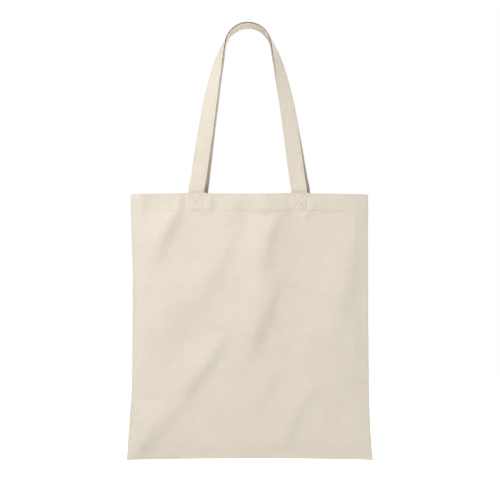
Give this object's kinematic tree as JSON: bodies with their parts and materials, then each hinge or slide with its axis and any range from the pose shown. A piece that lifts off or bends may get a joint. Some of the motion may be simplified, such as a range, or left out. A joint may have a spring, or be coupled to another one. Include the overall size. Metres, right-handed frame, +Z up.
{
  "type": "canvas tote bag",
  "caption": "Flat unlined canvas tote bag with a hemmed open mouth, overcast side and bottom seams, and long strap handles sewn inside the hem with boxed crosses.",
  "frame": {"origin": "middle of the bag's bottom edge, halfway between the panels", "axes": "+Z up from the bottom edge to the handles, front panel towards -Y, +X to the right seen from the front"},
  "size_m": [0.3914, 0.054, 0.6934],
  "materials": {
    "canvas": "plain woven unbleached cotton, matt, with darker seed flecks",
    "thread": "spun sewing thread, a little paler than the canvas"
  },
  "bodies": {
    "seams": {"bottom_seam": "canvas", "left_side_seam": "canvas", "right_side_seam": "canvas", "bottom_overcast_thread": "thread", "left_overcast_thread": "thread", "right_overcast_thread": "thread"},
    "front_side": {"front_panel": "canvas", "front_hem_thread": "thread", "front_handle_right_end": "canvas", "front_handle_left_end": "canvas", "front_right_box_thread": "thread", "front_left_box_thread": "thread"},
    "front_loop": {"front_handle": "canvas", "front_handle_inner_thread": "thread", "front_handle_outer_thread": "thread"},
    "back_side": {"back_panel": "canvas", "back_hem_thread": "thread", "back_handle_right_end": "canvas", "back_handle_left_end": "canvas", "back_right_box_thread": "thread", "back_left_box_thread": "thread"},
    "back_loop": {"back_handle": "canvas", "back_handle_inner_thread": "thread", "back_handle_outer_thread": "thread"}
  },
  "joints": [
    {"name": "front_panel_open", "type": "hinge", "parent": "seams", "child": "front_side", "pos_m": [0, -0.00165, 0], "axis": [1, 0, 0], "range_deg": [0, 5]},
    {"name": "front_handle_swing", "type": "hinge", "parent": "front_side", "child": "front_loop", "pos_m": [0, -0.00952, 0.423], "axis": [1, 0, 0], "range_deg": [0, 170]},
    {"name": "back_panel_open", "type": "hinge", "parent": "seams", "child": "back_side", "pos_m": [0, 0.00165, 0], "axis": [-1, 0, 0], "range_deg": [0, 5]},
    {"name": "back_handle_swing", "type": "hinge", "parent": "back_side", "child": "back_loop", "pos_m": [0, 0.00952, 0.423], "axis": [-1, 0, 0], "range_deg": [0, 170]}
  ],
  "couplings": [
    {"joint": "back_panel_open", "follows": "front_panel_open", "ratio": 1}
  ]
}
